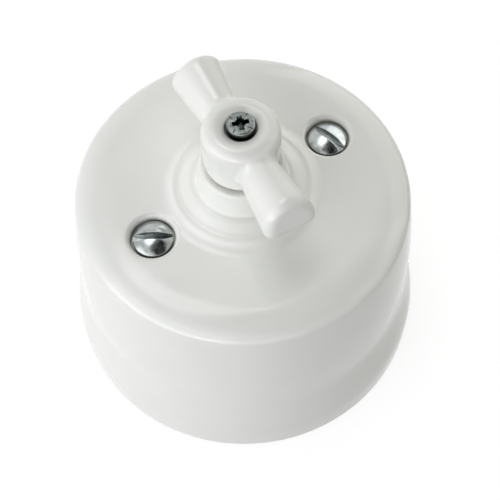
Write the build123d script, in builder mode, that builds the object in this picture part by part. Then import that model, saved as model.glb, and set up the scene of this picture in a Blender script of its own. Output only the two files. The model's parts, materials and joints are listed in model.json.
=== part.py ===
from build123d import *
import os
from math import atan2, cos, degrees, radians, sin, tan

# Surface-mounted porcelain rotary switch, in millimetres.
# The origin is the centre of the back, +Z points out of the wall along the spindle,
# and the two cover screws lie on the X axis.

# Cover, outside
foot_r = 37.5
foot_edge = 0.8
foot_height = 4.3
foot_flare = 2.5
waist_z = 18.9
wall_draft = 1.9
shoulder_width = 7.0
shoulder_drop = 3.2
cover_height = 45.2

# Cover, inside
foot_wall = 3.9
cover_wall = 4.0
plate_thickness = 5.2
inner_corner = 3.5
seat_clearance = 0.4

# Stepped boss around the spindle: a low coved step, a rounded ring on it, and the neck
step_land = 0.15
step_height = 1.2
step_slope = 1.5
step_cove = 3.9
step_edge = 0.9
step_tread = 2.7
ring_height = 1.5
ring_slope = 2.2
ring_cove = 2.4
ring_round = 1.6
ring_tread = 3.4
neck_taper = 0.7
neck_cove = 0.7
neck_edge = 0.8
boss_height = 8.2
boss_wall = 2.2
boss_crown = 4.0
boss_inner_round = 0.5
spindle_gap = 0.6

# Base disc
base_thickness = 8.0
base_edge = 0.6
wall_hole_r = 2.3
wall_recess_r = 4.6
wall_recess_depth = 2.5
wall_hole_land = 3.6
cable_entry_r = 4.0
cable_entry_land = 3.2
cable_entry_angle = 67.0

# Cover screws and their pillars
cover_screw_r = 2.0
cover_head_r = 3.9
cover_head_rim = 1.1
cover_head_dome = 1.2
cover_slot_width = 1.5
cover_slot_depth = 1.6
cover_slot_angles = (-33.0, -75.0)
cover_screw_grip = 9.0
head_recess_r = 4.35
head_recess_depth = 2.1
head_recess_edge = 1.0
head_recess_fall = 1.4
pillar_r = 3.0
pillar_gap = 0.7

# Fits
thread_clearance = 0.03
hole_clearance = 0.25
running_clearance = 0.05
drive_clearance = 0.05
mesh_clearance = 0.3
face_clearance = 0.2
thread_runout = 1.0
slot_overrun = 2.0

# Screws that come up from behind the base
rear_head_height = 2.4
rear_head_depth = 3.0
pillar_screw_r = 2.0
pillar_screw_head_r = 3.9
pillar_screw_grip = 8.0
block_screw_r = 1.5
block_screw_head_r = 2.8
block_screw_rim = 0.3
block_screw_grip = 7.0
rear_slot_width = 0.9
rear_slot_depth = 1.0

# Switch block and its cap
block_r = 16.8
block_floor = 4.0
block_height = 14.0
chamber_wall = 1.6
cap_plate = 3.0
tower_r = 9.4
tower_height = 10.0
tower_edge = 1.0
cap_screw_r = 1.5
cap_screw_head_r = 2.7
cap_screw_rim = 0.4
cap_screw_head_height = 1.8
cap_screw_grip = 8.0

# Spindle
spindle_r = 3.5
square_width = 4.9
pivot_r = 2.2
pivot_depth = 3.0
clip_groove_r = 1.8
clip_r = 4.2
clip_thickness = 0.6
clip_lift = 0.3
clip_opening = 3.2

# Rotor and contact bridge
rotor_r = 8.5
bridge_thickness = 1.0
bridge_gap = 0.4
bridge_hub_r = 4.8
bridge_width = 4.0
bridge_angle = 45.0
click_count = 4

# Click plungers and springs
plunger_r = 1.4
plunger_at = 6.2
plunger_length = 5.0
plunger_stroke = 1.25
groove_clearance = 0.1
groove_lift = 0.25
spring_wire_r = 0.16
spring_r = 1.05
spring_turns = 5
bore_end = 1.0

# Terminals
terminal_count = 4
terminal_width = 4.0
tongue_thickness = 0.6
clamp_gap = 0.5
clamp_length = 6.6
clamp_width = 7.0
clamp_height = 9.0
wire_hole_r = 1.6
wire_hole_z = 2.9
terminal_screw_r = 1.5
terminal_head_r = 2.6
terminal_head_height = 1.6
terminal_screw_grip = 4.0
slot_clearance = 0.1

# Knob
knob_gap = 0.6
knob_height = 10.9
hub_base_r = 7.1
hub_r = 7.45
hub_top_r = 7.3
hub_swell = 5.5
hub_belly = 6.0
hub_edge = 0.6
hub_shoulder = 2.4
dish_r = 4.7
dish_depth = 0.6
dish_rim = 0.5
head_pocket_r = 2.95
head_pocket_depth = 0.9
socket_depth = 7.4
wing_turn = -5.9
wing_span = 40.0
wing_start = 3.0
wing_lift = 3.2
wing_root_width = 7.0
wing_tip_width = 10.8
wing_root_height = 5.6
wing_tip_height = 7.7
wing_root_arch = 4.8
wing_tip_arch = 6.2
wing_end_lean = 12.0
wing_tip_round = 1.8
wing_edge = 1.0
wing_root_fillet = 1.8

# Knob screw
knob_screw_r = 1.5
knob_head_r = 2.65
knob_head_height = 2.1
knob_head_edge = 0.25
knob_screw_grip = 8.0
knob_washer_r = 2.2
knob_washer_thickness = 0.4
cross_angle = -21.0
cross_span = 3.7
cross_width = 1.1
cross_depth = 1.3

# Sizes that follow from those above
waist_r = foot_r - foot_flare
shoulder_r = waist_r - wall_draft
base_r = foot_r - foot_wall - seat_clearance
wall_hole_at = base_r - wall_recess_r - wall_hole_land
cable_entry_at = base_r - cable_entry_r - cable_entry_land
cover_screw_x = block_r + pillar_gap + pillar_r
head_mouth_r = head_recess_r + head_recess_edge
step_r = cover_screw_x - head_mouth_r - step_land
ring_r = step_r - step_tread
neck_r = ring_r - ring_tread
neck_top_r = neck_r - neck_taper
block_screw_y = block_r - block_screw_head_r - block_screw_rim
cap_screw_x = block_r - cap_screw_head_r - cap_screw_rim
chamber_r = block_screw_y - block_screw_r - chamber_wall
bridge_reach = chamber_r - bridge_gap
fork_web_r = chamber_r + mesh_clearance
tongue_reach = rotor_r + mesh_clearance
clamp_inner_r = block_r + clamp_gap
plate_under_z = cover_height - plate_thickness
head_seat_z = cover_height - head_recess_depth
shoulder_z = cover_height - shoulder_drop
plate_flat_r = shoulder_r - shoulder_width
wall_lean = 2 * atan2(wall_draft, shoulder_z - waist_z)
shoulder_turn = atan2(tan(wall_lean) * shoulder_drop, shoulder_width)
shoulder_reach = shoulder_width / cos(shoulder_turn)
shoulder_rise = shoulder_drop / (1 - sin(shoulder_turn))
boss_z = cover_height + boss_height
step_z = cover_height + step_height
ring_z = step_z + ring_height
spindle_hole_r = spindle_r + spindle_gap
block_floor_z = base_thickness + block_floor
block_top_z = base_thickness + block_height
cap_top_z = block_top_z + cap_plate
tower_z = cap_top_z + tower_height
clip_z = block_floor_z + clip_lift
bridge_z = clip_z + clip_thickness
rotor_z = bridge_z + bridge_thickness
rotor_top_z = block_top_z - face_clearance
hub_z = boss_z + knob_gap
hub_top_z = hub_z + knob_height
dish_z = hub_top_z - dish_depth
head_seat_in_knob_z = dish_z - head_pocket_depth
socket_top_z = hub_z + socket_depth
knob_head_z = head_seat_in_knob_z + knob_washer_thickness
plunger_r_bore = plunger_r + running_clearance
groove_r = plunger_r + groove_clearance
groove_z = rotor_top_z + groove_lift
nose_z = groove_z + plunger_stroke
plunger_top_z = nose_z + plunger_length
bore_top_z = tower_z - bore_end
terminal_slot = terminal_width + 2 * slot_clearance
wing_reach = wing_span / 2
wing_z = hub_z + wing_lift

os.makedirs("parts", exist_ok=True)


def save(part, name):
    """Label one finished piece and write it out."""
    part.label = name
    export_step(part, f"parts/{name}.step")


def drive_square(low_z, high_z, width, mode):
    """A square bar or socket on the spindle's axis."""
    with Locations((0, 0, low_z)):
        Box(width, width, high_z - low_z, align=(Align.CENTER, Align.CENTER, Align.MIN), mode=mode)


# Cover: one porcelain shell turned about Z
with BuildPart() as cover:
    with BuildSketch(Plane.XZ):
        with BuildLine():
            rim = RadiusArc((foot_r - foot_edge, 0), (foot_r, foot_edge), -foot_edge)
            Line(rim @ 1, (foot_r, foot_height))
            flare_mid = ((foot_r + waist_r) / 2, (foot_height + waist_z) / 2)
            swell = TangentArc((foot_r, foot_height), flare_mid, tangent=(0, 1))
            cove = TangentArc(flare_mid, (waist_r, waist_z), tangent=swell % 1)
            TangentArc(cove @ 1, (shoulder_r, shoulder_z), tangent=(0, 1))
            shoulder = EllipticalCenterArc(
                (plate_flat_r, cover_height - shoulder_rise), shoulder_reach, shoulder_rise,
                start_angle=degrees(shoulder_turn), arc_size=90 - degrees(shoulder_turn),
            )
            FilletPolyline(
                shoulder @ 1,
                (step_r, cover_height),
                (step_r - step_slope, step_z),
                (ring_r, step_z),
                (ring_r - ring_slope, ring_z),
                (neck_r, ring_z),
                (neck_top_r, boss_z),
                (spindle_hole_r, boss_z),
                radius=[step_cove, step_edge, ring_cove, ring_round, neck_cove, neck_edge],
            )
            FilletPolyline(
                (spindle_hole_r, boss_z),
                (spindle_hole_r, boss_z - boss_crown),
                (neck_top_r - boss_wall + spindle_gap, boss_z - boss_crown),
                (neck_r - boss_wall, cover_height),
                (neck_r - boss_wall, plate_under_z),
                (shoulder_r - cover_wall, plate_under_z),
                (waist_r - cover_wall, base_thickness),
                (base_r + seat_clearance, base_thickness),
                (base_r + seat_clearance, 0),
                (foot_r - foot_edge, 0),
                radius=[0, boss_inner_round, 0, boss_inner_round, inner_corner, 0, 0, 0],
            )
        make_face()
    revolve(axis=Axis.Z)
    for sign in (-1, 1):
        with BuildSketch(Plane((sign * cover_screw_x, 0, 0), x_dir=(1, 0, 0), z_dir=(0, -1, 0))):
            with BuildLine():
                Polyline(
                    (0, plate_under_z - slot_overrun),
                    (cover_screw_r + hole_clearance, plate_under_z - slot_overrun),
                    (cover_screw_r + hole_clearance, head_seat_z),
                    (head_recess_r, head_seat_z),
                    (head_recess_r, cover_height - head_recess_fall),
                )
                lip = EllipticalCenterArc(
                    (head_mouth_r, cover_height - head_recess_fall), head_recess_edge, head_recess_fall,
                    start_angle=90, arc_size=90,
                )
                Polyline(
                    lip @ 0,
                    (head_mouth_r + head_recess_edge, cover_height + head_recess_edge),
                    (0, cover_height + head_recess_edge),
                    (0, plate_under_z - slot_overrun),
                )
            make_face()
        revolve(axis=Axis((sign * cover_screw_x, 0, 0), (0, 0, 1)), mode=Mode.SUBTRACT)
save(cover.part, "cover")

# Base: porcelain disc against the wall, bored for its screws and cables
with BuildPart() as base:
    Cylinder(base_r, base_thickness, align=(Align.CENTER, Align.CENTER, Align.MIN))
    chamfer(base.edges().group_by(Axis.Z)[-1], base_edge)
    with Locations((0, -wall_hole_at, base_thickness), (0, wall_hole_at, base_thickness)):
        CounterBoreHole(wall_hole_r, wall_recess_r, wall_recess_depth)
    with PolarLocations(cable_entry_at, 2, start_angle=cable_entry_angle):
        Hole(cable_entry_r)
    with Locations(Plane.XY.rotated((180, 0, 0))):
        with GridLocations(2 * cover_screw_x, 0, 2, 1):
            CounterBoreHole(
                pillar_screw_r + hole_clearance, pillar_screw_head_r + hole_clearance, rear_head_depth
            )
        with GridLocations(0, 2 * block_screw_y, 1, 2):
            CounterBoreHole(
                block_screw_r + hole_clearance, block_screw_head_r + hole_clearance, rear_head_depth
            )
save(base.part, "base")

# Cover pillars: brass posts tapped at both ends
pillar_top_hole = cover_screw_grip + thread_runout
pillar_foot_hole = pillar_screw_grip + thread_runout
for side, sign in (("left", -1), ("right", 1)):
    with BuildPart() as pillar:
        with Locations((sign * cover_screw_x, 0, base_thickness)):
            Cylinder(
                pillar_r, plate_under_z - base_thickness, align=(Align.CENTER, Align.CENTER, Align.MIN)
            )
        with Locations((sign * cover_screw_x, 0, plate_under_z)):
            Hole(cover_screw_r + thread_clearance, pillar_top_hole)
        with Locations((sign * cover_screw_x, 0, base_thickness + pillar_foot_hole)):
            Hole(pillar_screw_r + thread_clearance, pillar_foot_hole)
    save(pillar.part, f"cover_pillar_{side}")

# Cover screws: slotted screws with a low domed head
head_rim_z = head_seat_z + cover_head_rim
head_top_z = head_rim_z + cover_head_dome
cover_screw_end_z = plate_under_z - cover_screw_grip
with BuildPart() as cover_screws:
    for sign, slot_angle in zip((-1, 1), cover_slot_angles):
        place = Plane((sign * cover_screw_x, 0, 0), z_dir=(0, 0, 1)).rotated((0, 0, slot_angle))
        side_on = Plane(place.origin, x_dir=place.x_dir, z_dir=-place.y_dir)
        with BuildSketch(side_on):
            with BuildLine():
                Polyline(
                    (0, head_top_z),
                    (0, cover_screw_end_z),
                    (cover_screw_r, cover_screw_end_z),
                    (cover_screw_r, head_seat_z),
                    (cover_head_r, head_seat_z),
                    (cover_head_r, head_rim_z),
                )
                TangentArc((0, head_top_z), (cover_head_r, head_rim_z), tangent=(1, 0))
            make_face()
        revolve(axis=Axis(place.origin, (0, 0, 1)))
        with BuildSketch(place.offset(head_top_z)):
            Rectangle(2 * cover_head_r + slot_overrun, cover_slot_width)
        extrude(amount=-cover_slot_depth, mode=Mode.SUBTRACT)
save(cover_screws.part, "cover_screws")


def rear_screw(x, y, shank_r, head_r, end_z):
    """One slotted screw that comes up through the base from behind."""
    head_top = rear_head_depth
    with Locations((x, y, head_top - rear_head_height)):
        Cylinder(head_r, rear_head_height, align=(Align.CENTER, Align.CENTER, Align.MIN))
    with Locations((x, y, head_top)):
        Cylinder(shank_r, end_z - head_top, align=(Align.CENTER, Align.CENTER, Align.MIN))
    with Locations((x, y, head_top - rear_head_height)):
        Box(
            2 * head_r + slot_overrun, rear_slot_width, rear_slot_depth,
            align=(Align.CENTER, Align.CENTER, Align.MIN), mode=Mode.SUBTRACT,
        )


with BuildPart() as pillar_screws:
    for sign in (-1, 1):
        rear_screw(
            sign * cover_screw_x, 0, pillar_screw_r, pillar_screw_head_r, base_thickness + pillar_screw_grip
        )
save(pillar_screws.part, "pillar_screws")

with BuildPart() as block_screws:
    for sign in (-1, 1):
        rear_screw(
            0, sign * block_screw_y, block_screw_r, block_screw_head_r, base_thickness + block_screw_grip
        )
save(block_screws.part, "block_screws")

# Switch block: round moulding with the rotor's chamber, terminal slots and pivot hole
with BuildPart() as switch_block:
    with Locations((0, 0, base_thickness)):
        Cylinder(block_r, block_height, align=(Align.CENTER, Align.CENTER, Align.MIN))
    with Locations((0, 0, block_top_z)):
        Hole(chamber_r, block_height - block_floor)
    with Locations((0, 0, block_floor_z)):
        Hole(pivot_r + running_clearance, pivot_depth)
    with BuildSketch(Plane.XY.offset(block_floor_z)):
        with PolarLocations((chamber_r + block_r) / 2, terminal_count, start_angle=bridge_angle):
            Rectangle(block_r - chamber_r + clamp_length, terminal_slot)
    extrude(amount=block_height, mode=Mode.SUBTRACT)
    with Locations((-cap_screw_x, 0, block_top_z), (cap_screw_x, 0, block_top_z)):
        Hole(cap_screw_r + thread_clearance, cap_screw_grip + thread_runout)
    with Locations(Plane.XY.offset(base_thickness).rotated((180, 0, 0))):
        with GridLocations(0, 2 * block_screw_y, 1, 2):
            Hole(block_screw_r + thread_clearance, block_screw_grip + thread_runout)
save(switch_block.part, "switch_block")

# Switch cap: lid on the block with the spindle's bearing tower and the click bores
rib_under_z = block_floor_z + 2 * tongue_thickness + bridge_thickness + 2 * mesh_clearance
with BuildPart() as switch_cap:
    with Locations((0, 0, block_top_z)):
        Cylinder(block_r, cap_plate, align=(Align.CENTER, Align.CENTER, Align.MIN))
    with Locations((0, 0, cap_top_z)):
        Cylinder(tower_r, tower_height, align=(Align.CENTER, Align.CENTER, Align.MIN))
    fillet(switch_cap.edges().group_by(Axis.Z)[-1], tower_edge)
    rib_inner = fork_web_r + mesh_clearance
    with BuildSketch(Plane.XY.offset(rib_under_z)):
        with PolarLocations((rib_inner + block_r) / 2, terminal_count, start_angle=bridge_angle):
            Rectangle(block_r - rib_inner - 2 * slot_clearance, terminal_width)
    extrude(amount=block_top_z - rib_under_z)
    with Locations((0, 0, tower_z)):
        Hole(spindle_r + running_clearance)
    with Locations(Plane.XY.offset(block_top_z).rotated((180, 0, 0))):
        with GridLocations(2 * plunger_at, 0, 2, 1):
            Hole(plunger_r_bore, bore_top_z - block_top_z)
    with Locations((-cap_screw_x, 0, cap_top_z), (cap_screw_x, 0, cap_top_z)):
        Hole(cap_screw_r + hole_clearance, cap_plate)
save(switch_cap.part, "switch_cap")

# Cap screws: cheese heads on top of the cap
with BuildPart() as cap_screws:
    for sign in (-1, 1):
        with Locations((sign * cap_screw_x, 0, cap_top_z)):
            Cylinder(
                cap_screw_head_r, cap_screw_head_height, align=(Align.CENTER, Align.CENTER, Align.MIN)
            )
        with Locations((sign * cap_screw_x, 0, cap_top_z)):
            Cylinder(
                cap_screw_r, cap_plate + cap_screw_grip, align=(Align.CENTER, Align.CENTER, Align.MAX)
            )
        with Locations((sign * cap_screw_x, 0, cap_top_z + cap_screw_head_height)):
            Box(
                2 * cap_screw_head_r + slot_overrun, rear_slot_width, rear_slot_depth,
                align=(Align.CENTER, Align.CENTER, Align.MAX), mode=Mode.SUBTRACT,
            )
save(cap_screws.part, "cap_screws")

# Spindle: pivot and clip groove, rotor square, journal, knob square with a tapped end
spindle_end_z = socket_top_z - face_clearance
with BuildPart() as spindle:
    with BuildSketch(Plane.XZ):
        with BuildLine():
            Polyline(
                (0, block_floor_z - pivot_depth + face_clearance),
                (pivot_r, block_floor_z - pivot_depth + face_clearance),
                (pivot_r, clip_z),
                (clip_groove_r, clip_z),
                (clip_groove_r, bridge_z),
                (0, bridge_z),
                close=True,
            )
        make_face()
    revolve(axis=Axis.Z)
    drive_square(bridge_z, rotor_top_z, square_width, Mode.ADD)
    with Locations((0, 0, rotor_top_z)):
        Cylinder(spindle_r, hub_z - rotor_top_z, align=(Align.CENTER, Align.CENTER, Align.MIN))
    drive_square(hub_z, spindle_end_z, square_width, Mode.ADD)
    with Locations((0, 0, spindle_end_z)):
        Hole(knob_screw_r + thread_clearance, knob_screw_grip + thread_runout)
save(spindle.part, "spindle")

# Spindle clip: open ring that snaps into the groove under the bridge
with BuildPart() as spindle_clip:
    with BuildSketch(Plane.XY.offset(clip_z)):
        Circle(clip_r)
        Circle(clip_groove_r + thread_clearance, mode=Mode.SUBTRACT)
        with Locations((clip_r, 0)):
            Rectangle(2 * clip_r, clip_opening, mode=Mode.SUBTRACT)
    extrude(amount=clip_thickness)
save(spindle_clip.part, "spindle_clip")

# Contact bridge: flat brass strip with an eye on the spindle's square
with BuildPart() as contact_bridge:
    with BuildSketch(Plane.XY.offset(bridge_z)):
        Circle(bridge_hub_r)
        SlotOverall(2 * bridge_reach, bridge_width, rotation=bridge_angle)
        Rectangle(square_width + 2 * drive_clearance, square_width + 2 * drive_clearance, mode=Mode.SUBTRACT)
    extrude(amount=bridge_thickness)
save(contact_bridge.part, "contact_bridge")

# Rotor: moulded drum with click grooves across its top
with BuildPart() as rotor:
    with Locations((0, 0, rotor_z)):
        Cylinder(rotor_r, rotor_top_z - rotor_z, align=(Align.CENTER, Align.CENTER, Align.MIN))
    drive_square(rotor_z, rotor_top_z, square_width + 2 * drive_clearance, Mode.SUBTRACT)
    for click in range(click_count):
        turn = 360 / click_count * click
        outward = Plane((0, 0, groove_z), z_dir=(cos(radians(turn)), sin(radians(turn)), 0))
        with BuildSketch(outward):
            Circle(groove_r)
        extrude(amount=2 * rotor_r, mode=Mode.SUBTRACT)
save(rotor.part, "rotor")

# Click plungers: round-nosed pins at the top of their stroke, riding on the rotor between two clicks,
# with their springs above them
spring_height = bore_top_z - plunger_top_z
spring_coil = spring_height - 2 * spring_wire_r
for side, sign in (("left", -1), ("right", 1)):
    with BuildPart() as plunger:
        with Locations((sign * plunger_at, 0, nose_z)):
            Sphere(plunger_r)
        with Locations((sign * plunger_at, 0, nose_z)):
            Cylinder(plunger_r, plunger_length, align=(Align.CENTER, Align.CENTER, Align.MIN))
    save(plunger.part, f"click_plunger_{side}")

    coil_foot = Vector(sign * plunger_at, 0, plunger_top_z + spring_wire_r)
    with BuildPart() as spring:
        with BuildLine():
            Helix(spring_coil / spring_turns, spring_coil, spring_r, center=coil_foot)
        with BuildSketch(Plane(coil_foot + Vector(spring_r, 0, 0), z_dir=(0, 1, 0))):
            Circle(spring_wire_r)
        sweep(is_frenet=True)
    save(spring.part, f"click_spring_{side}")

# Terminals: a contact fork for the bridge, and a clamp for the wire
fork_low_z = block_floor_z
fork_high_z = rib_under_z
clamp_outer_r = clamp_inner_r + clamp_length
clamp_top_z = base_thickness + clamp_height
clamp_mid_r = clamp_inner_r + clamp_length / 2
gap_low_z = fork_low_z + tongue_thickness
gap_high_z = fork_high_z - tongue_thickness
for number in range(terminal_count):
    turn = bridge_angle + 360 / terminal_count * number
    outward = Vector(cos(radians(turn)), sin(radians(turn)), 0)
    across = Vector(-sin(radians(turn)), cos(radians(turn)), 0)
    with BuildPart() as terminal:
        with BuildSketch(Plane((0, 0, 0), x_dir=outward, z_dir=-across)):
            with BuildLine():
                Polyline(
                    (tongue_reach, fork_low_z),
                    (clamp_mid_r, fork_low_z),
                    (clamp_mid_r, fork_high_z),
                    (tongue_reach, fork_high_z),
                    (tongue_reach, gap_high_z),
                    (fork_web_r, gap_high_z),
                    (fork_web_r, gap_low_z),
                    (tongue_reach, gap_low_z),
                    close=True,
                )
            make_face()
        extrude(amount=terminal_width / 2, both=True)
        with BuildSketch(Plane((0, 0, base_thickness), x_dir=outward, z_dir=(0, 0, 1))):
            with Locations((clamp_mid_r, 0)):
                Rectangle(clamp_length, clamp_width)
        extrude(amount=clamp_height)
        with BuildSketch(Plane(outward * clamp_outer_r, x_dir=across, z_dir=-outward)):
            with Locations((0, -(base_thickness + wire_hole_z))):
                Circle(wire_hole_r)
        extrude(amount=clamp_length, mode=Mode.SUBTRACT)
        with Locations(outward * clamp_mid_r + Vector(0, 0, clamp_top_z)):
            Hole(terminal_screw_r + thread_clearance, clamp_height - wire_hole_z)
    save(terminal.part, f"terminal_{number + 1}")

with BuildPart() as terminal_screws:
    for number in range(terminal_count):
        turn = radians(bridge_angle + 360 / terminal_count * number)
        spot = Vector(clamp_mid_r * cos(turn), clamp_mid_r * sin(turn), clamp_top_z)
        with Locations(spot):
            Cylinder(terminal_screw_r, terminal_screw_grip, align=(Align.CENTER, Align.CENTER, Align.MAX))
        with Locations(spot):
            Cylinder(
                terminal_head_r, terminal_head_height, align=(Align.CENTER, Align.CENTER, Align.MIN)
            )
        with Locations(spot + Vector(0, 0, terminal_head_height)):
            Box(
                2 * terminal_head_r + slot_overrun, rear_slot_width, rear_slot_depth,
                align=(Align.CENTER, Align.CENTER, Align.MAX), mode=Mode.SUBTRACT,
            )
save(terminal_screws.part, "terminal_screws")


# Knob: porcelain hub with two arched wings that widen and rise towards their tips
wing_line = Vector(-sin(radians(wing_turn)), cos(radians(wing_turn)), 0)
wing_across = Vector(cos(radians(wing_turn)), sin(radians(wing_turn)), 0)
with BuildPart() as knob:
    for side in (-1, 1):
        outward = wing_line * side
        for at, width, height, arch in (
            (wing_start, wing_root_width, wing_root_height, wing_root_arch),
            (wing_reach, wing_tip_width, wing_tip_height, wing_tip_arch),
        ):
            half = width / 2
            spring_z = wing_z + height - arch
            with BuildSketch(Plane(outward * at, x_dir=wing_across, z_dir=-wing_line)):
                with BuildLine():
                    Polyline((-half, spring_z), (-half, wing_z), (half, wing_z), (half, spring_z))
                    EllipticalCenterArc((0, spring_z), half, arch, start_angle=0, arc_size=180)
                make_face()
        loft(ruled=True)
        lean = outward * cos(radians(wing_end_lean)) + Vector(0, 0, sin(radians(wing_end_lean)))
        end_plane = Plane(outward * wing_reach + Vector(0, 0, wing_z), x_dir=wing_across, z_dir=lean)
        split(bisect_by=end_plane, keep=Keep.BOTTOM)
        end_face = knob.faces().sort_by(Axis((0, 0, 0), outward))[-1]
        fillet(end_face.edges().sort_by(Axis.Z)[1:], wing_tip_round)
        under = knob.faces().filter_by(Axis.Z).sort_by(Axis((0, 0, 0), outward))[-1]
        fillet(under.edges().sort_by(Axis((0, 0, 0), outward))[1:], wing_edge)
    with BuildSketch(Plane.XZ):
        with BuildLine():
            FilletPolyline(
                (0, hub_z),
                (hub_base_r, hub_z),
                (hub_r, hub_z + hub_swell),
                (hub_top_r, hub_top_z),
                (0, hub_top_z),
                radius=[hub_edge, hub_belly, hub_shoulder],
            )
            Line((0, hub_top_z), (0, hub_z))
        make_face()
    revolve(axis=Axis.Z)
    fillet(knob.edges(Select.NEW), wing_root_fillet)
    with BuildSketch(Plane.XZ):
        with BuildLine():
            Polyline(
                (0, hub_top_z),
                (dish_r, hub_top_z),
                (head_pocket_r, dish_z),
                (head_pocket_r, head_seat_in_knob_z),
                (0, head_seat_in_knob_z),
                close=True,
            )
        make_face()
    revolve(axis=Axis.Z, mode=Mode.SUBTRACT)
    rim = knob.edges(Select.LAST).filter_by(GeomType.CIRCLE).group_by(Axis.Z)[-1]
    fillet(rim, dish_rim)
    drive_square(hub_z, socket_top_z, square_width + 2 * drive_clearance, Mode.SUBTRACT)
    with Locations((0, 0, head_seat_in_knob_z)):
        Hole(knob_screw_r + hole_clearance, head_seat_in_knob_z - hub_z)
save(knob.part, "knob")

# Knob washer: fibre ring under the screw's head
with BuildPart() as knob_washer:
    with BuildSketch(Plane.XY.offset(head_seat_in_knob_z)):
        Circle(knob_washer_r)
        Circle(knob_screw_r + hole_clearance, mode=Mode.SUBTRACT)
    extrude(amount=knob_washer_thickness)
save(knob_washer.part, "knob_washer")

# Knob screw: pan head with a cross recess
knob_head_top_z = knob_head_z + knob_head_height
with BuildPart() as knob_screw:
    with Locations((0, 0, knob_head_z)):
        Cylinder(knob_head_r, knob_head_height, align=(Align.CENTER, Align.CENTER, Align.MIN))
    fillet(knob_screw.edges().group_by(Axis.Z)[-1], knob_head_edge)
    with Locations((0, 0, knob_head_z)):
        Cylinder(
            knob_screw_r, knob_head_z - spindle_end_z + knob_screw_grip,
            align=(Align.CENTER, Align.CENTER, Align.MAX),
        )
    with BuildSketch(Plane.XY.offset(knob_head_top_z)):
        Rectangle(cross_span, cross_width, rotation=cross_angle)
        Rectangle(cross_width, cross_span, rotation=cross_angle)
    extrude(amount=-cross_depth, mode=Mode.SUBTRACT)
save(knob_screw.part, "knob_screw")
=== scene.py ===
import json
from math import acos, atan2, cos, degrees, pi, radians, sin, tan

import bmesh
import bpy
from mathutils import Matrix, Vector

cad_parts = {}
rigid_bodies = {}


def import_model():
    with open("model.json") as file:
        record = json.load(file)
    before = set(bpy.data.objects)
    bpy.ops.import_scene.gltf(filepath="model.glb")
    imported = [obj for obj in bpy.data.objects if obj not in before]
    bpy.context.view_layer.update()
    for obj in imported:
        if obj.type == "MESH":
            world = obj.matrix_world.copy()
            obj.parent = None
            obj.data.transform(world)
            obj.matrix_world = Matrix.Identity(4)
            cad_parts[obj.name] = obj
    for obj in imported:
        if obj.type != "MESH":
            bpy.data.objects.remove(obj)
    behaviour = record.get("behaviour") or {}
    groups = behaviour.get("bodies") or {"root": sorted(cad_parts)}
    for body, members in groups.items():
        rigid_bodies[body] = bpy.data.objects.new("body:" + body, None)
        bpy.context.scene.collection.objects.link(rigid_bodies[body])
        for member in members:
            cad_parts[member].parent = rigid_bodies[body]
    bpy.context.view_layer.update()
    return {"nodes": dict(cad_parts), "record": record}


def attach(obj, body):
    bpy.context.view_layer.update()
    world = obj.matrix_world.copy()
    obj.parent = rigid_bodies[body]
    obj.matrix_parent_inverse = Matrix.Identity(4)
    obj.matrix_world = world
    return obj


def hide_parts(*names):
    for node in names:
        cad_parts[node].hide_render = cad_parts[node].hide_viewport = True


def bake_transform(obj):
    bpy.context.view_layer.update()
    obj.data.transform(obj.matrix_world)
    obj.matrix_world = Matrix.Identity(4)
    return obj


for leftover in list(bpy.data.objects):
    bpy.data.objects.remove(leftover)
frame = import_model()

MM = 0.001

# Cover, in millimetres, the same sizes as the solid's
FOOT_R = 37.5
FOOT_EDGE = 0.8
FOOT_HEIGHT = 4.3
FOOT_FLARE = 2.5
WAIST_Z = 18.9
WALL_DRAFT = 1.9
SHOULDER_WIDTH = 7.0
SHOULDER_DROP = 3.2
COVER_HEIGHT = 45.2
FOOT_WALL = 3.9
COVER_WALL = 4.0
PLATE = 5.2
INNER_CORNER = 3.5
BASE_THICKNESS = 8.0
STEP_R, STEP_HEIGHT, STEP_SLOPE = 15.0, 1.2, 1.5
STEP_COVE, STEP_EDGE = 3.9, 0.9
RING_R, RING_HEIGHT, RING_SLOPE = 12.3, 1.5, 2.2
RING_COVE, RING_ROUND = 2.4, 1.6
NECK_R, NECK_TOP_R = 8.9, 8.2
NECK_COVE, NECK_EDGE = 0.7, 0.8
BOSS_HEIGHT = 8.2
BOSS_CROWN = 4.0
BOSS_INNER_R = 6.6
BOSS_INNER_ROUND = 0.5
SPINDLE_HOLE_R = 4.1

# Cover screws and their recesses, in millimetres, with the slots' turns in degrees
SIDES = {"left": -1, "right": 1}
SCREW_X = 20.5
SCREW_R = 2.0
SCREW_HOLE_R = 2.25
SCREW_END_Z = 31.0
HEAD_R = 3.9
HEAD_RIM = 1.1
HEAD_DOME = 1.2
HEAD_EDGE = 0.22
SLOT_WIDTH = 1.5
SLOT_DEPTH = 1.6
SLOT_EASE = 0.07
SLOT_ANGLES = {"left": -33.0, "right": -75.0}
RECESS_R = 4.35
RECESS_DEPTH = 2.1
RECESS_EDGE = 1.0
RECESS_FALL = 1.4

# Knob screw, in millimetres, with its cross turned in degrees. The taper is the share of the cross's width
# that is left at its foot.
KNOB_SCREW_R = 1.5
KNOB_SCREW_END_Z = 53.2
KNOB_HEAD_R = 2.65
KNOB_HEAD_LOW = 63.8
KNOB_HEAD_TOP = 65.9
KNOB_HEAD_CROWN = 0.12
KNOB_HEAD_EDGE = 0.4
KNOB_HEAD_FOOT = 0.1
CROSS_ANGLE = -21.0
CROSS_SPAN = 3.7
CROSS_WIDTH = 1.1
CROSS_DEPTH = 1.3
CROSS_RISE = 0.6
CROSS_TAPER = 0.6
CROSS_CORE = 1.8
CROSS_EASE = 0.03
TICK_INNER, TICK_OUTER = 1.7, 2.5
TICK_WIDTH, TICK_DEPTH = 0.16, 0.14
QUARTER = 90

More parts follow.
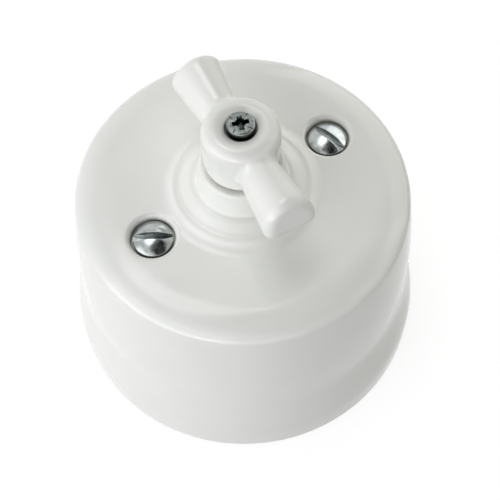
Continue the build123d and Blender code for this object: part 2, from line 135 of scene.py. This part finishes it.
# Mesh fineness: steps in a turn, in a corner's arc and in a longer curve, the knob's voxels in millimetres
# and its smoothing, and the distance in metres at which points merge
TURN_STEPS = 224
SCREW_STEPS = 128
ARC_STEPS = 10
CURVE_STEPS = 2 * ARC_STEPS
DOME_START = 2
KNOB_VOXEL = 0.18
KNOB_FLOW = 0.5
KNOB_SETTLE = 14
EASE_SEGMENTS = 2
MERGE = 1e-7

# Edges sharper than so many degrees stay corners, and cutters overrun what they cut by so many millimetres
SHARP = 38.0
OVERRUN = 1.0

# Camera, fitted to the photograph
IMAGE = 500
SENSOR = 36.0
LENS = 77.59
CLIP_START = 0.01
CAMERA_ELEVATION = 61.13
CAMERA_HEADING = 32.42
CAMERA_DISTANCE = 231.9
CAMERA_ROLL = -1.49
AIM_Z = 20.0
AIM_PIXEL = (243.8, 246.9)

# Studio, placed in metres to the right, near and up of the camera's heading. Each lamp is a soft panel:
# its place, its size in metres, its power in watts, its colour, and whether shiny surfaces mirror it.
WHITE = (1.0, 1.0, 1.0)
COOL = (0.965, 0.97, 1.0)
WARM = (1.0, 1.0, 0.95)
LAMPS = {
    "left_far": ((-0.6, -0.6, 0.4), (1.6, 0.8), 5.2, WHITE, False),
    "left_near": ((-0.62, 0.6, 0.45), (1.2, 0.9), 4.8, COOL, True),
    "left_near_low": ((-0.65, 0.65, 0.2), (1.6, 0.4), 3.7, COOL, True),
    "left_top": ((-0.4, 0.3, 0.85), (0.5, 0.5), 0.3, WHITE, False),
    "overhead": ((-0.2, -0.2, 0.95), (0.45, 0.32), 1.15, WHITE, True),
    "far_high": ((-0.2, -0.4, 0.9), (0.4, 0.3), 0.4, WHITE, True),
    "top": ((0.0, 0.1, 0.98), (0.9, 0.9), 0.3, WHITE, True),
    "near_low": ((0.0, 0.85, 0.18), (0.9, 0.35), 1.35, WHITE, True),
    "right_mid": ((0.75, 0.0, 0.5), (0.6, 0.6), 1.05, WARM, True),
    "right_low": ((0.85, 0.0, 0.18), (0.7, 0.35), 0.4, WARM, True),
    "right_far": ((0.6, -0.6, 0.4), (1.2, 0.8), 3.4, WARM, True),
}
CARD_AT, CARD_WIDTH = (0.30, 0.20, 0.90), 0.95
AMBIENT = 0.0
FLOOR_SIZE = 6.0
FLOOR_LIFT = 0.82

# Materials: the range that noise mostly stays in, the rays that feel for crevices, the phase that a wave
# texture gains in a unit of length, and the colour sockets of a mix node
NOISE_LOW, NOISE_HIGH = 0.3, 0.7
HOLLOW_SAMPLES = 8
WAVE_RADIANS = 20
MIX_FIRST, MIX_SECOND, MIX_RESULT = 6, 7, 2


def corner_arc(before, corner, after, radius):
    """Points of the arc that rounds one corner of a profile."""
    if radius == 0:
        return [corner]
    into = (Vector(before) - Vector(corner)).normalized()
    away = (Vector(after) - Vector(corner)).normalized()
    half = acos(max(-1.0, min(1.0, into.dot(away)))) / 2
    reach = radius / tan(half)
    centre = Vector(corner) + (into + away).normalized() * (radius / sin(half))
    start = Vector(corner) + into * reach - centre
    end = Vector(corner) + away * reach - centre
    first = atan2(start.y, start.x)
    sweep = (atan2(end.y, end.x) - first + pi) % (2 * pi) - pi
    angles = [first + sweep * i / ARC_STEPS for i in range(ARC_STEPS + 1)]
    return [(centre.x + radius * cos(a), centre.y + radius * sin(a)) for a in angles]


def rounded(points, radii):
    """A profile with each inner corner rounded by its radius."""
    out = [points[0]]
    for before, corner, after, radius in zip(points, points[1:], points[2:], radii):
        out += corner_arc(before, corner, after, radius)
    return out + [points[-1]]


def elliptic(centre, width, height, start, end):
    """Points along part of an ellipse, between two angles in degrees."""
    angles = [radians(start + (end - start) * i / CURVE_STEPS) for i in range(CURVE_STEPS + 1)]
    return [(centre[0] + width * cos(a), centre[1] + height * sin(a)) for a in angles]


def add_object(name, data):
    """A mesh, camera or lamp as an object of the scene."""
    item = bpy.data.objects.new(name, data)
    bpy.context.scene.collection.objects.link(item)
    return item


def add_shape(name, shape):
    """A finished bmesh as an object of the scene."""
    mesh = bpy.data.meshes.new(name)
    shape.to_mesh(mesh)
    shape.free()
    return add_object(name, mesh)


def turned(name, profile, steps, closed):
    """A solid turned about Z from (radius, height) points in millimetres."""
    shape = bmesh.new()
    ring = [shape.verts.new((r * MM, 0, z * MM)) for r, z in profile]
    edges = [shape.edges.new(pair) for pair in zip(ring, ring[1:])]
    if closed:
        edges.append(shape.edges.new((ring[-1], ring[0])))
    bmesh.ops.spin(
        shape, geom=ring + edges, axis=(0, 0, 1), cent=(0, 0, 0),
        steps=steps, angle=2 * pi, use_merge=True,
    )
    bmesh.ops.remove_doubles(shape, verts=shape.verts, dist=MERGE)
    bmesh.ops.recalc_face_normals(shape, faces=shape.faces)
    return add_shape(name, shape)


def wedge(name, length, width, low, high, foot=1.0):
    """A bar along X, narrowed at its low end, in millimetres."""
    shape = bmesh.new()
    bmesh.ops.create_cube(shape, size=1.0)
    for vert in shape.verts:
        share = 1.0 if vert.co.z > 0 else foot
        height = high if vert.co.z > 0 else low
        vert.co = Vector((vert.co.x * length * share, vert.co.y * width * share, height)) * MM
    return add_shape(name, shape)


def square(name, width):
    """A flat square sheet, in metres."""
    shape = bmesh.new()
    bmesh.ops.create_grid(shape, x_segments=1, y_segments=1, size=width / 2)
    return add_shape(name, shape)


def settle(piece):
    """Make the modifiers' result the piece's own mesh."""
    graph = bpy.context.evaluated_depsgraph_get()
    mesh = bpy.data.meshes.new_from_object(piece.evaluated_get(graph))
    piece.modifiers.clear()
    piece.data = mesh


def cut(piece, cutter):
    """Take the cutter's volume out of the piece."""
    tool = piece.modifiers.new("cut", "BOOLEAN")
    tool.operation = "DIFFERENCE"
    tool.solver = "EXACT"
    tool.object = cutter
    settle(piece)
    bpy.data.objects.remove(cutter)


def soften(piece, width):
    """Break the piece's sharp edges by a narrow round."""
    tool = piece.modifiers.new("edges", "BEVEL")
    tool.width = width * MM
    tool.segments = EASE_SEGMENTS
    tool.limit_method = "ANGLE"
    tool.angle_limit = radians(SHARP)
    settle(piece)


def shade(piece):
    """Smooth shading, with true corners kept."""
    piece.data.shade_smooth()
    piece.data.set_sharp_from_angle(angle=radians(SHARP))


def place(piece, body, slot, *nodes):
    """Fix a finished piece to its body and hide the solids it stands for. Its slot is not used."""
    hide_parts(*nodes)
    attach(piece, body)


def cover_profile():
    """The cover's section, from the rim up over the boss and back down inside."""
    waist_r = FOOT_R - FOOT_FLARE
    shoulder_r = waist_r - WALL_DRAFT
    shoulder_z = COVER_HEIGHT - SHOULDER_DROP
    flat_r = shoulder_r - SHOULDER_WIDTH
    step_z = COVER_HEIGHT + STEP_HEIGHT
    ring_z = step_z + RING_HEIGHT
    boss_z = COVER_HEIGHT + BOSS_HEIGHT
    under_z = COVER_HEIGHT - PLATE
    rim = elliptic((FOOT_R - FOOT_EDGE, FOOT_EDGE), FOOT_EDGE, FOOT_EDGE, -90, 0)
    rise = [i / CURVE_STEPS for i in range(CURVE_STEPS + 1)]
    flare = [
        (FOOT_R - FOOT_FLARE * (1 - cos(pi * t)) / 2, FOOT_HEIGHT + (WAIST_Z - FOOT_HEIGHT) * t)
        for t in rise
    ]
    lean = 2 * atan2(WALL_DRAFT, shoulder_z - WAIST_Z)
    bow_r = (shoulder_z - WAIST_Z) / sin(lean)
    wall = [
        (waist_r - bow_r * (1 - cos(lean * t)), WAIST_Z + bow_r * sin(lean * t))
        for t in rise[1:-1]
    ]
    turn = atan2(tan(lean) * SHOULDER_DROP, SHOULDER_WIDTH)
    reach, crown = SHOULDER_WIDTH / cos(turn), SHOULDER_DROP / (1 - sin(turn))
    shoulder = elliptic((flat_r, COVER_HEIGHT - crown), reach, crown, degrees(turn), 90)
    top = rounded(
        [
            (flat_r - OVERRUN, COVER_HEIGHT),
            (STEP_R, COVER_HEIGHT),
            (STEP_R - STEP_SLOPE, step_z),
            (RING_R, step_z),
            (RING_R - RING_SLOPE, ring_z),
            (NECK_R, ring_z),
            (NECK_TOP_R, boss_z),
            (SPINDLE_HOLE_R, boss_z),
        ],
        [STEP_COVE, STEP_EDGE, RING_COVE, RING_ROUND, NECK_COVE, NECK_EDGE],
    )
    inside = rounded(
        [
            (SPINDLE_HOLE_R, boss_z - BOSS_CROWN),
            (BOSS_INNER_R, boss_z - BOSS_CROWN),
            (BOSS_INNER_R, under_z),
            (shoulder_r - COVER_WALL, under_z),
            (waist_r - COVER_WALL, BASE_THICKNESS),
            (FOOT_R - FOOT_WALL, BASE_THICKNESS),
            (FOOT_R - FOOT_WALL, 0),
        ],
        [BOSS_INNER_ROUND, BOSS_INNER_ROUND, INNER_CORNER, 0, 0],
    )
    return rim + flare + wall + shoulder + top + inside


def recess_cutter(x):
    """What a cover screw's recess and hole take out of the cover's plate."""
    floor_z = COVER_HEIGHT - RECESS_DEPTH
    lip_r = RECESS_R + RECESS_EDGE
    lip = elliptic((lip_r, COVER_HEIGHT - RECESS_FALL), RECESS_EDGE, RECESS_FALL, 180, 90)
    low_z, high_z = COVER_HEIGHT - PLATE - OVERRUN, COVER_HEIGHT + RECESS_EDGE
    profile = [(0, low_z), (SCREW_HOLE_R, low_z), (SCREW_HOLE_R, floor_z), (RECESS_R, floor_z)]
    profile += lip + [(lip_r + RECESS_EDGE, high_z), (0, high_z)]
    cutter = turned("recess", profile, SCREW_STEPS, False)
    cutter.location.x = x * MM
    return cutter


def make_cover():
    """The glazed shell with its two screw recesses."""
    piece = turned("cover_shell", cover_profile(), TURN_STEPS, True)
    for sign in SIDES.values():
        cut(piece, recess_cutter(sign * SCREW_X))
    shade(piece)
    place(piece, "housing", "glazed_porcelain", "cover")
    return piece


def make_knob():
    """The knob's solid with the soft edges that glaze leaves."""
    piece = add_object("knob_glazed", frame["nodes"]["knob"].data.copy())
    skin = piece.modifiers.new("skin", "REMESH")
    skin.mode = "VOXEL"
    skin.voxel_size = KNOB_VOXEL * MM
    flow = piece.modifiers.new("flow", "SMOOTH")
    flow.factor = KNOB_FLOW
    flow.iterations = KNOB_SETTLE
    settle(piece)
    shade(piece)
    place(piece, "turning", "glazed_porcelain", "knob")
    return piece


def make_click_spring(side):
    """One click spring, its top in the cap and its foot on the plunger, copied from its solid with its
    placement baked in.
    """
    node = f"click_spring_{side}"
    piece = add_object(f"{node}_coil", frame["nodes"][node].data.copy())
    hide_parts(node)
    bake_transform(piece)
    return piece


def make_cover_screw(side):
    """One slotted, domed cover screw. The dome's first points give way to its rounded rim."""
    seat_z = COVER_HEIGHT - RECESS_DEPTH
    rim_z = seat_z + HEAD_RIM
    top_z = rim_z + HEAD_DOME
    dome_r = (HEAD_R ** 2 + HEAD_DOME ** 2) / (2 * HEAD_DOME)
    dome_turn = radians(90) - acos(HEAD_R / dome_r)
    fall = [1 - i / CURVE_STEPS for i in range(DOME_START, CURVE_STEPS + 1)]
    dome = [
        (dome_r * sin(dome_turn * t), top_z - dome_r * (1 - cos(dome_turn * t)))
        for t in fall
    ]
    stem = rounded(
        [
            (0, SCREW_END_Z),
            (SCREW_R, SCREW_END_Z),
            (SCREW_R, seat_z),
            (HEAD_R, seat_z),
            (HEAD_R, rim_z),
            dome[0],
        ],
        [0, 0, HEAD_EDGE, HEAD_EDGE],
    )
    piece = turned(f"cover_screw_{side}", stem + dome[1:], SCREW_STEPS, False)
    slot = wedge("slot", 2 * HEAD_R + OVERRUN, SLOT_WIDTH, top_z - SLOT_DEPTH, top_z + OVERRUN)
    slot.rotation_euler.z = radians(SLOT_ANGLES[side])
    cut(piece, slot)
    soften(piece, SLOT_EASE)
    shade(piece)
    piece.location.x = SIDES[side] * SCREW_X * MM
    place(piece, "housing", "nickel_screw", "cover_screws")
    return piece


def make_knob_screw():
    """The knob's pan head screw with its cross recess and the four marks between the arms."""
    rim_z = KNOB_HEAD_TOP - KNOB_HEAD_CROWN
    profile = rounded(
        [
            (0, KNOB_SCREW_END_Z),
            (KNOB_SCREW_R, KNOB_SCREW_END_Z),
            (KNOB_SCREW_R, KNOB_HEAD_LOW),
            (KNOB_HEAD_R, KNOB_HEAD_LOW),
            (KNOB_HEAD_R, rim_z),
            (0, KNOB_HEAD_TOP),
        ],
        [0, 0, KNOB_HEAD_FOOT, KNOB_HEAD_EDGE],
    )
    piece = turned("knob_screw_head", profile, SCREW_STEPS, False)
    low_z, high_z = KNOB_HEAD_TOP - CROSS_DEPTH, KNOB_HEAD_TOP + CROSS_RISE
    for turn in (0, QUARTER):
        arm = wedge("arm", CROSS_SPAN, CROSS_WIDTH, low_z, high_z, CROSS_TAPER)
        arm.rotation_euler.z = radians(CROSS_ANGLE + turn)
        cut(piece, arm)
    core = wedge("core", CROSS_CORE, CROSS_CORE, low_z, high_z, CROSS_TAPER)
    core.rotation_euler.z = radians(CROSS_ANGLE)
    cut(piece, core)
    for quarter in range(4):
        tick = wedge("tick", TICK_OUTER - TICK_INNER, TICK_WIDTH, rim_z - TICK_DEPTH, high_z)
        aim = Matrix.Rotation(radians(CROSS_ANGLE + QUARTER * (quarter + 0.5)), 4, "Z")
        tick.matrix_world = aim @ Matrix.Translation(((TICK_INNER + TICK_OUTER) / 2 * MM, 0, 0))
        cut(piece, tick)
    soften(piece, CROSS_EASE)
    shade(piece)
    place(piece, "turning", "zinc_screw", "knob_screw")
    return piece


class Finish:
    """A node material built up around one Principled shader."""

    def __init__(self, name, settings):
        self.material = bpy.data.materials.new(name)
        self.material.use_nodes = True
        self.tree = self.material.node_tree
        self.shader = self.tree.nodes["Principled BSDF"]
        for key, value in settings.items():
            self.shader.inputs[key].default_value = value
        self.coords = self.tree.nodes.new("ShaderNodeTexCoord").outputs["Object"]

    def join(self, out, socket):
        """Link an output to an input."""
        self.tree.links.new(out, socket)

    def noise(self, size, detail=2.0, stretch=(1, 1, 1)):
        """Noise whose features are about this many millimetres across."""
        spread = self.tree.nodes.new("ShaderNodeMapping")
        spread.inputs["Scale"].default_value = [1 / (size * MM * s) for s in stretch]
        self.join(self.coords, spread.inputs["Vector"])
        node = self.tree.nodes.new("ShaderNodeTexNoise")
        node.inputs["Scale"].default_value = 1.0
        node.inputs["Detail"].default_value = detail
        self.join(spread.outputs["Vector"], node.inputs["Vector"])
        return node.outputs["Fac"]

    def rings(self, pitch):
        """Turning marks about the object's Z axis, a pitch in millimetres apart."""
        node = self.tree.nodes.new("ShaderNodeTexWave")
        node.wave_type = "RINGS"
        node.rings_direction = "Z"
        node.inputs["Scale"].default_value = 1 / (pitch * MM * WAVE_RADIANS) * 2 * pi
        node.inputs["Distortion"].default_value = 1.5
        node.inputs["Detail"].default_value = 2.0
        self.join(self.coords, node.inputs["Vector"])
        return node.outputs["Fac"]

    def hollow(self, reach):
        """White in the open and dark in crevices narrower than this, in millimetres."""
        node = self.tree.nodes.new("ShaderNodeAmbientOcclusion")
        node.samples = HOLLOW_SAMPLES
        node.inputs["Distance"].default_value = reach * MM
        return node.outputs["AO"]

    def span(self, value, low, high, out_low, out_high):
        """A value mapped from one range to another."""
        node = self.tree.nodes.new("ShaderNodeMapRange")
        self.join(value, node.inputs["Value"])
        node.inputs["From Min"].default_value = low
        node.inputs["From Max"].default_value = high
        node.inputs["To Min"].default_value = out_low
        node.inputs["To Max"].default_value = out_high
        return node.outputs["Result"]

    def tint(self, value, stops):
        """A colour ramp over a value, from (place, colour) stops."""
        node = self.tree.nodes.new("ShaderNodeValToRGB")
        ramp = node.color_ramp
        for _ in stops[2:]:
            ramp.elements.new(0.5)
        for element, (at, colour) in zip(ramp.elements, stops):
            element.position = at
            element.color = (*colour, 1.0)
        self.join(value, node.inputs["Fac"])
        return node.outputs["Color"]

    def between(self, noise, first, second):
        """A colour that goes from one to another as a noise rises."""
        return self.tint(noise, [(NOISE_LOW, first), (NOISE_HIGH, second)])

    def times(self, first, second):
        """Two colours multiplied."""
        node = self.tree.nodes.new("ShaderNodeMix")
        node.data_type = "RGBA"
        node.blend_type = "MULTIPLY"
        node.inputs["Factor"].default_value = 1.0
        self.join(first, node.inputs[MIX_FIRST])
        self.join(second, node.inputs[MIX_SECOND])
        return node.outputs[MIX_RESULT]

    def colour(self, out):
        """Take the base colour from an output."""
        self.join(out, self.shader.inputs["Base Color"])

    def rough(self, noise, low, high):
        """Roughness that goes from one value to another as a noise rises."""
        self.join(self.span(noise, NOISE_LOW, NOISE_HIGH, low, high), self.shader.inputs["Roughness"])

    def bump(self, height, depth):
        """Relief of this depth in millimetres, over any relief already there."""
        node = self.tree.nodes.new("ShaderNodeBump")
        node.inputs["Strength"].default_value = 1.0
        node.inputs["Distance"].default_value = depth * MM
        self.join(height, node.inputs["Height"])
        previous = self.shader.inputs["Normal"].links
        if previous:
            self.join(previous[0].from_socket, node.inputs["Normal"])
        self.join(node.outputs["Normal"], self.shader.inputs["Normal"])


def glazed_porcelain():
    """White glaze: faint clouding, a slow waviness, and painted shade, near black deep in the narrow gaps
    and warm grey in the coves.
    """
    finish = Finish("glazed_porcelain", {"IOR": 1.5})
    cloud = finish.between(finish.noise(14), (0.795, 0.805, 0.77), (0.82, 0.825, 0.79))
    # Painted shade: by ambient occlusion, the glaze goes near black in the narrowest gaps and warm grey in
    # the coves
    painted_gap_shade = [(0.04, (0.08, 0.08, 0.07)), (0.18, (0.80, 0.78, 0.70)), (0.42, WHITE)]
    finish.colour(finish.times(cloud, finish.tint(finish.hollow(2.0), painted_gap_shade)))
    finish.rough(finish.noise(5), 0.10, 0.16)
    finish.bump(finish.noise(9, detail=1.0), 0.06)
    finish.bump(finish.noise(0.9, detail=1.0), 0.002)
    return finish.material


def bisque():
    """Unglazed porcelain: dry, faintly warm, with a fine grain."""
    finish = Finish("bisque_porcelain", {"IOR": 1.45})
    cloud = finish.noise(6, detail=4.0)
    finish.colour(finish.between(cloud, (0.74, 0.71, 0.64), (0.80, 0.78, 0.72)))
    finish.rough(finish.noise(1.2), 0.62, 0.8)
    finish.bump(finish.noise(0.35, detail=3.0), 0.03)
    return finish.material


def nickel():
    """Bright nickel plate with faint turning marks and fingered patches."""
    finish = Finish("nickel_plate", {"Metallic": 1.0})
    patches = finish.noise(1.6, detail=4.0)
    tone = finish.between(patches, (0.34, 0.365, 0.36), (0.47, 0.495, 0.49))
    # Painted shade: by ambient occlusion, the plate goes near black where it lies deepest in narrow
    # crevices
    painted_recess_shade = [(0.06, (0.03, 0.03, 0.03)), (0.22, WHITE)]
    finish.colour(finish.times(tone, finish.tint(finish.hollow(1.2), painted_recess_shade)))
    finish.rough(finish.noise(0.8, detail=3.0), 0.13, 0.27)
    finish.bump(finish.rings(0.22), 0.0025)
    finish.bump(finish.noise(0.5, detail=3.0), 0.012)
    return finish.material


def zinc():
    """Dull zinc plate, with painted shade that turns it black in its recesses and on faces hemmed in by
    others.
    """
    finish = Finish("zinc_plate", {"Metallic": 1.0})
    patches = finish.noise(0.7, detail=4.0)
    tone = finish.between(patches, (0.13, 0.145, 0.14), (0.24, 0.26, 0.25))
    # Painted shade: by ambient occlusion, every face that is not open goes black, such as the knob screw
    # head's side in its pocket
    painted_recess_shade = [(0.6, (0.01, 0.01, 0.01)), (0.93, WHITE)]
    finish.colour(finish.times(tone, finish.tint(finish.hollow(1.4), painted_recess_shade)))
    finish.rough(finish.noise(0.5, detail=3.0), 0.24, 0.42)
    finish.bump(finish.rings(0.3), 0.004)
    finish.bump(finish.noise(0.3, detail=3.0), 0.015)
    return finish.material


def brass():
    """Turned brass, a little tarnished."""
    finish = Finish("brass", {"Metallic": 1.0})
    tarnish = [(0.3, (0.50, 0.35, 0.14)), (0.65, (0.78, 0.60, 0.28))]
    finish.colour(finish.tint(finish.noise(3.0, detail=5.0), tarnish))
    finish.rough(finish.noise(1.0, detail=3.0), 0.2, 0.4)
    finish.bump(finish.noise(0.3, stretch=(1, 1, 6)), 0.01)
    return finish.material


def brown_moulding():
    """Brown phenolic moulding with a marbled flow."""
    finish = Finish("brown_moulding", {"IOR": 1.55})
    marbling = [(0.35, (0.035, 0.018, 0.010)), (0.7, (0.10, 0.05, 0.026))]
    finish.colour(finish.tint(finish.noise(4.0, detail=5.0), marbling))
    finish.rough(finish.noise(2.0, detail=3.0), 0.32, 0.5)
    finish.bump(finish.noise(0.6), 0.01)
    return finish.material


def spring_steel():
    """Oiled spring steel."""
    finish = Finish("spring_steel", {"Metallic": 1.0})
    patches = finish.noise(1.0, detail=4.0)
    finish.colour(finish.between(patches, (0.22, 0.21, 0.20), (0.40, 0.39, 0.37)))
    finish.rough(finish.noise(0.6), 0.25, 0.4)
    finish.bump(finish.noise(0.2, stretch=(1, 1, 5)), 0.005)
    return finish.material


def red_fibre():
    """Vulcanised fibre, pressed and slightly streaked."""
    finish = Finish("red_fibre", {"IOR": 1.45})
    streaks = finish.noise(0.8, detail=5.0)
    finish.colour(finish.between(streaks, (0.20, 0.035, 0.022), (0.33, 0.07, 0.04)))
    finish.rough(finish.noise(0.4, detail=3.0), 0.6, 0.8)
    finish.bump(finish.noise(0.15, detail=3.0), 0.02)
    return finish.material


def dress(material, *objects):
    """Give objects one material."""
    for item in objects:
        item.data.materials.clear()
        item.data.materials.append(material)


def camera_axes():
    """The camera's right, up and back directions before its roll, in the object's frame."""
    rise, turn = radians(CAMERA_ELEVATION), radians(CAMERA_HEADING)
    back = Vector((-cos(rise) * sin(turn), -cos(rise) * cos(turn), sin(rise)))
    right = Vector((cos(turn), -sin(turn), 0))
    return right, back.cross(right), back


def make_camera():
    """The camera at the photograph's angle."""
    right, up, back = camera_axes()
    data = bpy.data.cameras.new("camera")
    data.sensor_width = SENSOR
    data.lens = LENS
    data.clip_start = CLIP_START
    data.shift_x = (IMAGE / 2 - AIM_PIXEL[0]) / IMAGE
    data.shift_y = (AIM_PIXEL[1] - IMAGE / 2) / IMAGE
    camera = add_object("camera", data)
    turn = Matrix((right, up, back)).transposed() @ Matrix.Rotation(radians(CAMERA_ROLL), 3, "Z")
    eye = Vector((0, 0, AIM_Z * MM)) + back * CAMERA_DISTANCE * MM
    camera.matrix_world = Matrix.Translation(eye) @ turn.to_4x4()
    bpy.context.scene.camera = camera


def stand(item, where):
    """Put a lamp or card in its place in the studio, turned to the object and unseen by the camera."""
    turn = radians(CAMERA_HEADING)
    right = Vector((cos(turn), -sin(turn), 0))
    near = Vector((-sin(turn), -cos(turn), 0))
    item.location = right * where[0] + near * where[1] + Vector((0, 0, where[2]))
    target = Vector((0, 0, AIM_Z * MM))
    item.rotation_euler = (target - item.location).to_track_quat("-Z", "Y").to_euler()
    item.visible_camera = False


def make_lamp(name, where, size, power, colour, mirrored):
    """A soft panel lamp, which shiny surfaces may mirror or not."""
    data = bpy.data.lights.new(name, "AREA")
    data.shape = "RECTANGLE"
    data.size, data.size_y = size
    data.energy = power
    data.color = colour
    lamp = add_object(name, data)
    lamp.visible_glossy = mirrored
    stand(lamp, where)


def make_card(name, where, width):
    """A dark card that only shows as a reflection in metal and glaze."""
    card = square(name, width)
    finish = Finish("card_felt", {"Roughness": 0.9, "Specular IOR Level": 0.0})
    finish.colour(finish.between(finish.noise(30), (0.015, 0.015, 0.015), (0.03, 0.03, 0.03)))
    dress(finish.material, card)
    stand(card, where)
    card.visible_diffuse = False
    card.visible_shadow = False


def seen_directly(tree):
    """One for rays that show the background as it is: camera, glossy and transmission rays."""
    path = tree.nodes.new("ShaderNodeLightPath")
    value = path.outputs["Is Camera Ray"]
    for name in ("Is Glossy Ray", "Is Transmission Ray"):
        top = tree.nodes.new("ShaderNodeMath")
        top.operation = "MAXIMUM"
        tree.links.new(value, top.inputs[0])
        tree.links.new(path.outputs[name], top.inputs[1])
        value = top.outputs["Value"]
    return value


def make_world(ambient):
    """A surround that is white where it is seen and lights the object at the ambient level."""
    world = bpy.data.worlds.new("studio")
    bpy.context.scene.world = world
    world.use_nodes = True
    tree = world.node_tree
    tree.nodes.clear()
    out = tree.nodes.new("ShaderNodeOutputWorld")
    mix = tree.nodes.new("ShaderNodeMixShader")
    tree.links.new(seen_directly(tree), mix.inputs["Fac"])
    for socket, strength in zip(mix.inputs[1:], (ambient, 1.0)):
        glow = tree.nodes.new("ShaderNodeBackground")
        glow.inputs["Color"].default_value = (*WHITE, 1.0)
        glow.inputs["Strength"].default_value = strength
        tree.links.new(glow.outputs["Background"], socket)
    tree.links.new(mix.outputs["Shader"], out.inputs["Surface"])


def make_floor(size, lift):
    """A floor that shows as white where it is seen and keeps the object's shadow."""
    floor = square("floor", size)
    finish = Finish("floor_paper", {"Roughness": 0.9, "Specular IOR Level": 0.0})
    finish.colour(finish.between(finish.noise(40), (0.27, 0.27, 0.27), (0.29, 0.29, 0.29)))
    tree = finish.tree
    glow = tree.nodes.new("ShaderNodeEmission")
    finish.join(finish.span(seen_directly(tree), 0, 1, 0, lift), glow.inputs["Strength"])
    both = tree.nodes.new("ShaderNodeAddShader")
    finish.join(finish.shader.outputs["BSDF"], both.inputs[0])
    finish.join(glow.outputs["Emission"], both.inputs[1])
    finish.join(both.outputs["Shader"], tree.nodes["Material Output"].inputs["Surface"])
    dress(finish.material, floor)


zinc_plate = zinc()
spring_wire = spring_steel()
dress(glazed_porcelain(), make_cover(), make_knob())
dress(nickel(), make_cover_screw("left"), make_cover_screw("right"))
dress(zinc_plate, make_knob_screw())
dress(spring_wire, make_click_spring("left"), make_click_spring("right"))

# The rest of the works keep their solids, each with its own finish
by_slot = {
    "base_porcelain": bisque(),
    "zinc_screw": zinc_plate,
    "brass": brass(),
    "brown_moulding": brown_moulding(),
    "spring_steel": spring_wire,
    "red_fibre": red_fibre(),
}
for entry in frame["record"]["subparts"]:
    if entry["material_slot"] in by_slot:
        dress(by_slot[entry["material_slot"]], frame["nodes"][entry["node"]])

make_camera()
make_world(AMBIENT)
make_floor(FLOOR_SIZE, FLOOR_LIFT)
make_card("card", CARD_AT, CARD_WIDTH)
for name, (where, panel, power, colour, mirrored) in LAMPS.items():
    make_lamp(name, where, panel, power, colour, mirrored)

bpy.context.scene.view_settings.view_transform = "Standard"
